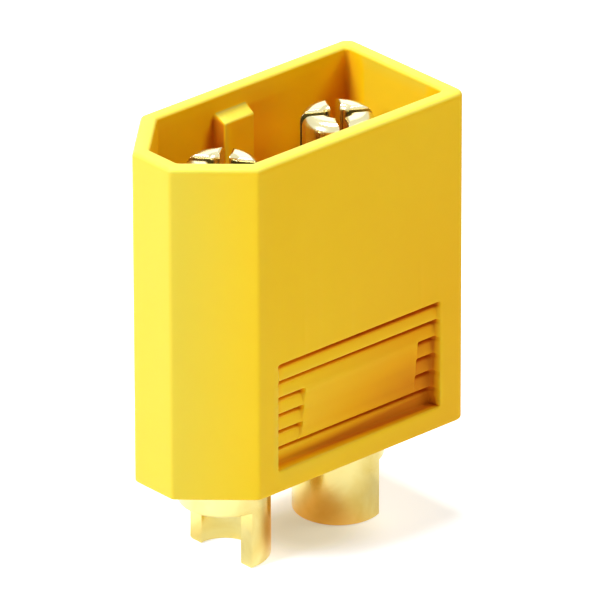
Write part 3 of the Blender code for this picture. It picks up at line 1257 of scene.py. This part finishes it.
@dataclass
class Studio:
    """Floor, light and camera."""

    target: Vector
    ambient: float = 0.02
    # Floor, and how it is lifted to white for the camera
    floor_half: float = 0.9
    floor_cells: int = 4
    floor_drop: float = 0.02 * MM
    floor_roughness: float = 0.9
    floor_colour: float = 0.82
    floor_lift: float = 0.54
    far_start: float = 60.0 * MM
    far_reach: float = 200.0 * MM
    # Painted light in reflections of the floor, brighter or darker along the sheen's azimuth, with a painted
    # dark spot between the cups
    sheen_azimuth: float = -135.0
    sheen_start: float = 8.0 * MM
    sheen_reach: float = 35.0 * MM
    sheen_low: float = 0.1
    sheen_high: float = 1.15
    near_reach: float = 12.0 * MM
    sheen_near: float = 0.47
    dark_place: Triple = (0.5 * MM, -2.0 * MM, 0.0)
    dark_core: float = 0.5 * MM
    dark_reach: float = 2.6 * MM
    dark_level: float = 0.4
    # Painted contact shadow round the farther cup, in another tone where mirrored
    shaded_place: Triple = (0.9 * MM, -0.9 * MM, 0.0)
    shaded_core: float = 1.0 * MM
    shaded_reach: float = 4.2 * MM
    shaded_tone: Colour = (0.69, 0.67, 0.56, 1.0)
    mirrored_tone: Colour = (0.97, 0.64, 0.34, 1.0)
    # Camera, fitted to the photograph
    camera_azimuth: float = -41.86
    camera_elevation: float = 25.62
    camera_roll: float = -0.20
    camera_distance: float = 0.5213
    camera_clip: tuple[float, float] = (0.01, 10.0)
    focal_pixels: float = 11167.0
    frame_pixels: float = 600.0
    target_pixel: tuple[float, float] = (280.53, 277.10)
    sensor: float = 36.0

    def build_camera(self) -> None:
        """Sets the camera where a fit to the photographed edges of the housing puts it."""
        back = direction(self.camera_azimuth, self.camera_elevation)
        level = Vector((-back.y, back.x, 0.0)).normalized()
        tilt = math.radians(self.camera_roll)
        upright = back.cross(level)
        right = math.cos(tilt) * level + math.sin(tilt) * upright
        up = back.cross(right)
        data = bpy.data.cameras.new("camera")
        data.sensor_width = self.sensor
        data.lens = self.focal_pixels / self.frame_pixels * self.sensor
        data.shift_x = 0.5 - self.target_pixel[0] / self.frame_pixels
        data.shift_y = self.target_pixel[1] / self.frame_pixels - 0.5
        data.clip_start, data.clip_end = self.camera_clip
        camera = placed_object("camera", data)
        axes = Matrix((right, up, back)).transposed().to_4x4()
        camera.matrix_world = Matrix.Translation(self.target + back * self.camera_distance) @ axes
        bpy.context.scene.camera = camera

    def build_floor(self) -> None:
        """Lays a pale floor that keeps the part's shadow and looks white to the camera where none falls."""
        cells = self.floor_cells
        share = np.linspace(-1.0, 1.0, cells + 1)
        x, y = np.meshgrid(share * self.floor_half, share * self.floor_half)
        points = np.stack([x, y, np.full_like(x, -self.floor_drop)], axis=-1).reshape(-1, 3)
        first = (np.arange(cells)[:, None] * (cells + 1) + np.arange(cells)).reshape(-1, 1)
        mesh = bpy.data.meshes.new("floor")
        mesh.from_pydata(points.tolist(), [], (first + np.array([0, 1, cells + 2, cells + 1])).tolist())
        mesh.materials.append(self.floor_material())
        floor = placed_object("floor", mesh)

    def floor_material(self) -> bpy.types.Material:
        """Builds the floor's material.

        A warm contact shadow is painted round the farther cup. To the camera the floor is lifted to white,
        fully so far from the part. In reflections it has painted light, brighter away from the camera and
        darker towards it, with a painted dark spot between the cups, which gives the plating something to
        mirror.

        Returns:
            The material.
        """
        nodes = MaterialTree("pale_floor")
        place = nodes.place
        path = nodes.add("ShaderNodeLightPath")
        glossy = path.outputs["Is Glossy Ray"]
        away = nodes.distance(place, self.shaded_place)
        clear = nodes.span(away, self.shaded_core, self.shaded_reach, smooth=True)
        shade = nodes.mix(glossy, self.shaded_tone, self.mirrored_tone)
        painted_contact_shadow = nodes.mix(clear, shade, WHITE)
        way = {0: place, 1: direction(self.sheen_azimuth, 0.0)}
        across = nodes.add("ShaderNodeVectorMath", way, operation="DOT_PRODUCT").outputs["Value"]
        full = self.floor_colour
        dim = nodes.span(across, -self.sheen_reach, 0.0, self.sheen_low * full, full)
        tone = nodes.mix(glossy, full, dim, Mixed.FLOAT)
        sheen = nodes.span(across, self.sheen_start, self.sheen_reach, 0.0, self.sheen_high)
        near = nodes.span(across, -2 * self.near_reach, -self.near_reach, 0.0, self.sheen_near)
        from_dark = nodes.distance(place, self.dark_place)
        dark = nodes.span(from_dark, self.dark_core, self.dark_reach, self.dark_level, smooth=True)
        mirrored = nodes.math("MULTIPLY", nodes.math("ADD", sheen, near), dark)
        mirrored = nodes.math("MULTIPLY", mirrored, glossy)
        far = nodes.distance(place, (0.0, 0.0, 0.0))
        rising = nodes.span(far, self.far_start, self.far_reach, self.floor_lift, smooth=True)
        base = nodes.add("ShaderNodeVectorMath", {0: painted_contact_shadow, "Scale": tone}, operation="SCALE").outputs[0]
        return nodes.finish({
            "Base Color": base,
            "Roughness": self.floor_roughness,
            "Specular IOR Level": 0.0,
            "Emission Color": painted_contact_shadow,
            "Emission Strength": nodes.math("MULTIPLY_ADD", path.outputs["Is Camera Ray"], rising, mirrored),
        })

    def build_world(self) -> None:
        """A white surround to the camera and in reflections, and a soft even light on everything else."""
        world = bpy.data.worlds.new("surround")
        world.use_nodes = True
        bpy.context.scene.world = world
        nodes = NodeTree(world.node_tree)
        rays = nodes.add("ShaderNodeLightPath").outputs
        seen = nodes.math("MAXIMUM", rays["Is Camera Ray"], rays["Is Glossy Ray"])
        seen = nodes.math("MAXIMUM", seen, rays["Is Transmission Ray"])
        background = world.node_tree.nodes["Background"]
        nodes.fill(background.inputs["Strength"], nodes.span(seen, 0.0, 1.0, self.ambient, 1.0))
        nodes.fill(background.inputs["Color"], WHITE)

    def build(self) -> None:
        """Builds the studio."""
        self.build_camera()
        self.build_floor()
        self.build_world()
        cool = (0.82, 1.0, 1.35)
        lamps = [
            Lamp("key", azimuth=-98.5, elevation=32.5, size=0.08, level=0.83, colour=cool),
            Lamp("top", azimuth=180, elevation=78, size=0.15, level=1.05),
            Lamp("front", azimuth=48, elevation=42, size=0.12, level=0.36),
            Lamp("near", azimuth=-30, elevation=25, size=0.03, level=0.055, distance=0.06),
            Lamp("mirrored", azimuth=138, elevation=26, size=0.15, level=0.06),
        ]
        for lamp in lamps:
            lamp.build(self.target)
        bpy.context.scene.view_settings.view_transform = "Standard"


def dress(piece: bpy.types.Object, finish: bpy.types.Material, node: str) -> None:
    """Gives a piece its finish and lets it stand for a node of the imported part.

    Args:
        piece: The piece.
        finish: Its material.
        node: The node that it replaces.
    """
    piece.data.materials.append(finish)
    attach(piece, "root")
    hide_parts(node)
    log.info("%s stands for %s: %d faces", piece.name, node, len(piece.data.polygons))


def main() -> None:
    """Builds the pieces and the studio."""
    logging.basicConfig(level=logging.INFO, format="%(name)s: %(message)s")
    effects = SurfaceEffects()
    nylon = Nylon().build(effects)
    gold = GoldPlate().build(effects)
    low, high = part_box("housing")
    poses = {
        "negative_contact": ContactPose(turn=180.0, slot_turn=37.5, pin_rise=-0.1 * MM),
        "positive_contact": ContactPose(turn=15.0, slot_turn=59.0, pin_rise=0.15 * MM),
    }
    boxes = {name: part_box(name) for name in poses}
    centres = tuple((box[0].x + box[1].x) / 2 for box in boxes.values())
    housing = Housing(low=low, high=high, hole_centres=centres)
    dress(housing.build(), nylon, "housing")
    for name, pose in poses.items():
        piece_name = name.replace("contact", "pin_and_cup")
        contact = Contact(piece_name, *boxes[name], pose, housing_foot=low.z, mouth_floor=housing.mouth_floor)
        dress(contact.build(), gold, name)
    Studio(target=Vector((0.0, 0.0, (low.z + high.z) / 2))).build()


if __name__ == "__main__":
    main()
